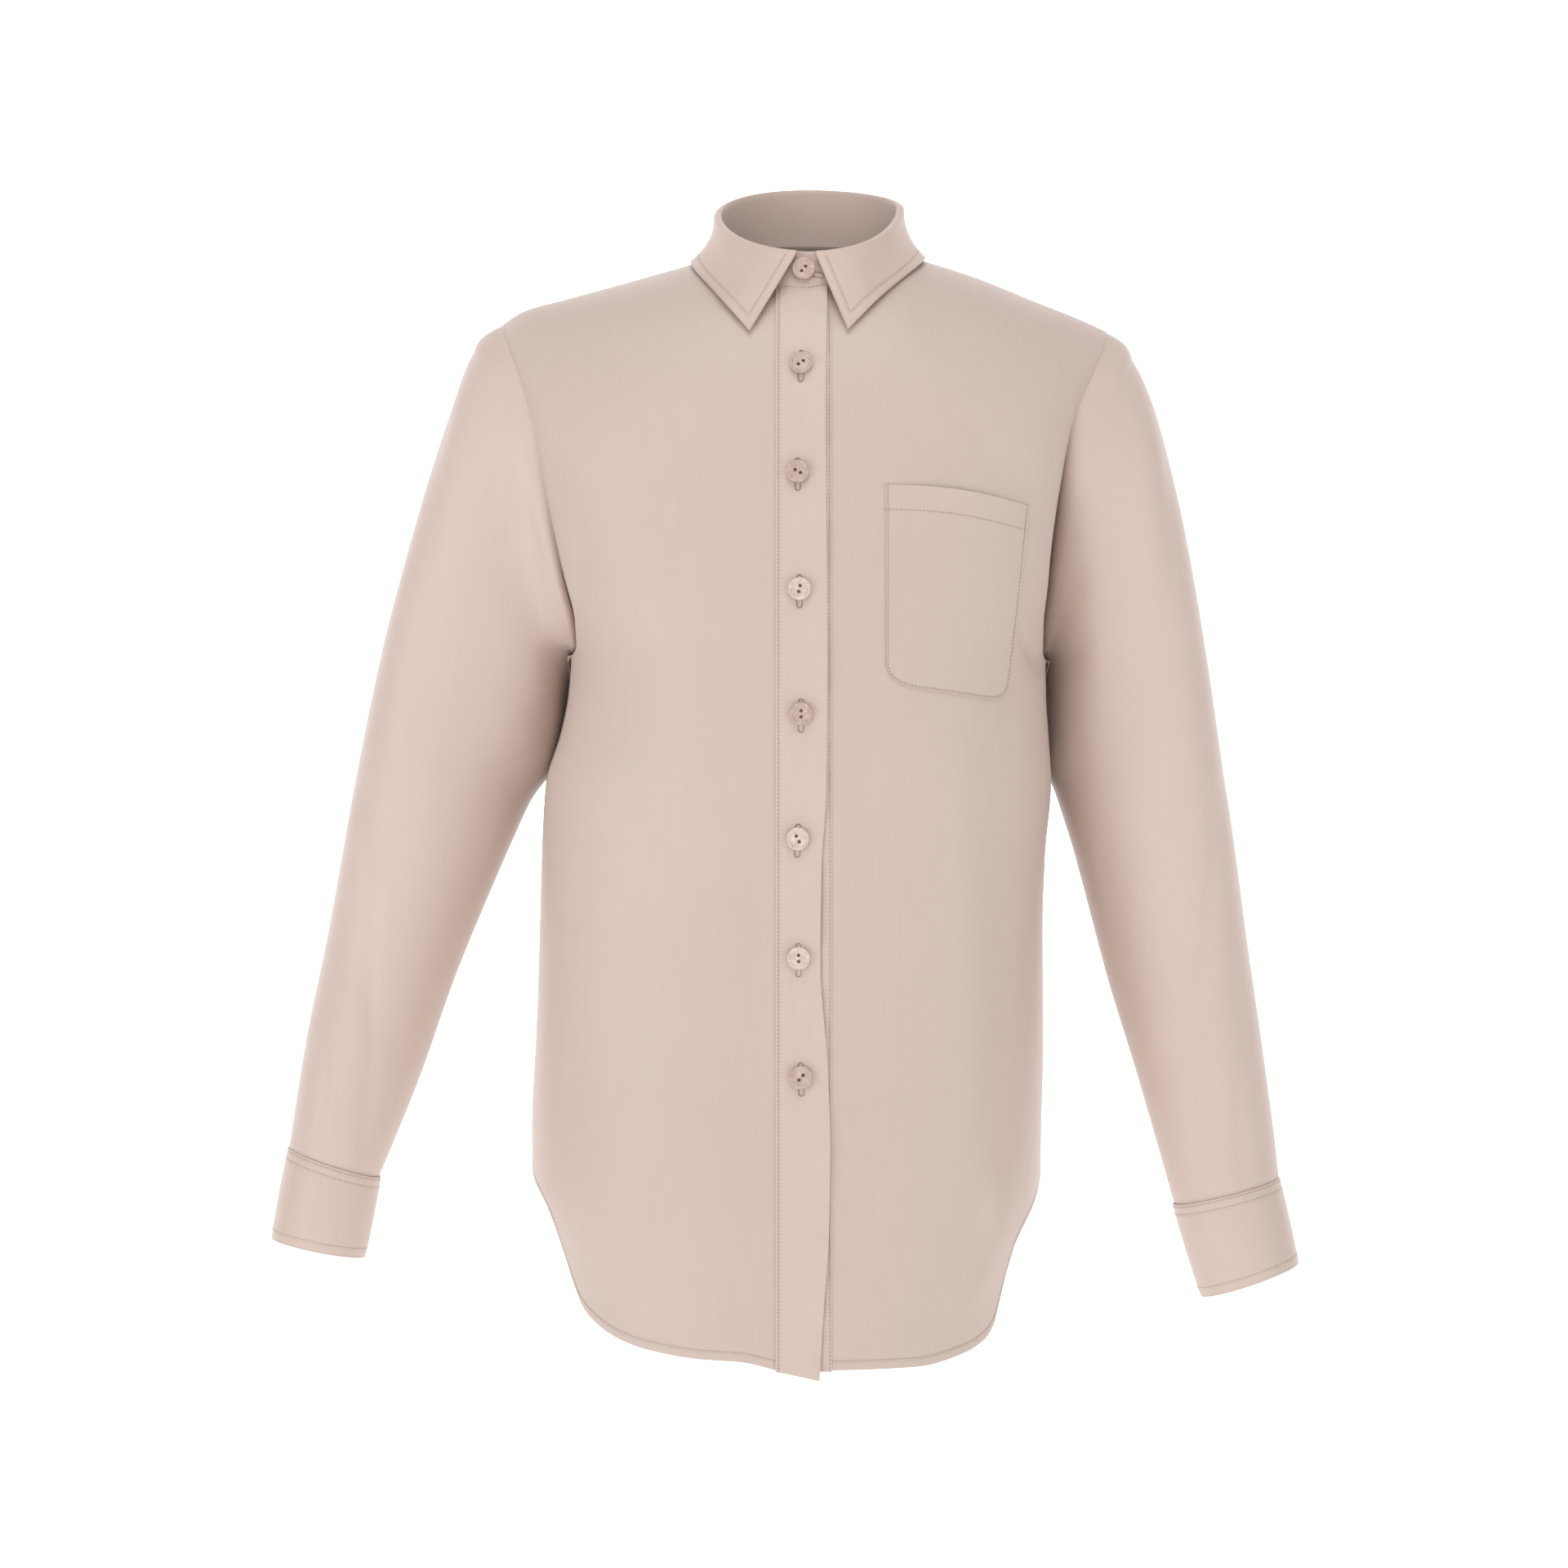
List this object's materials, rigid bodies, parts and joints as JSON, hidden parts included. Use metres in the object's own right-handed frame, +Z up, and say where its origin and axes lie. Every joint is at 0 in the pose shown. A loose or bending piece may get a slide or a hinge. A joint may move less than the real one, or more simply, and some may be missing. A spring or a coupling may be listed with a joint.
{
  "type": "long-sleeved blouse",
  "caption": "Long-sleeved button-front blouse with a pointed collar, chest pocket, cuffs and a curved shirt-tail hem, filled out as worn.",
  "frame": {"origin": "middle of the neck base, level with the shoulder seams at the neck, where the wearer's shoulders hold it", "axes": "+Z up, -Y out of the front with the buttons, +X to the wearer's left"},
  "size_m": [0.6473, 0.2488, 0.7503],
  "materials": {
    "cloth": "smooth woven, faint sheen",
    "collar": "smooth woven, stiffened",
    "placket": "smooth woven, stiffened",
    "button": "satin, slightly pearly"
  },
  "bodies": {
    "root": {"back": "cloth", "button_1": "button", "button_2": "button", "button_3": "button", "button_4": "button", "button_5": "button", "button_6": "button", "button_7": "button", "button_collar": "button", "button_cuff_left": "button", "button_cuff_right": "button", "collar_leaf": "collar", "collar_stand": "collar", "cuff_left": "placket", "cuff_right": "placket", "front_left": "cloth", "front_right": "cloth", "placket_left": "placket", "placket_right": "placket", "pocket": "cloth", "sleeve_left": "cloth", "sleeve_right": "cloth"}
  },
  "joints": []
}
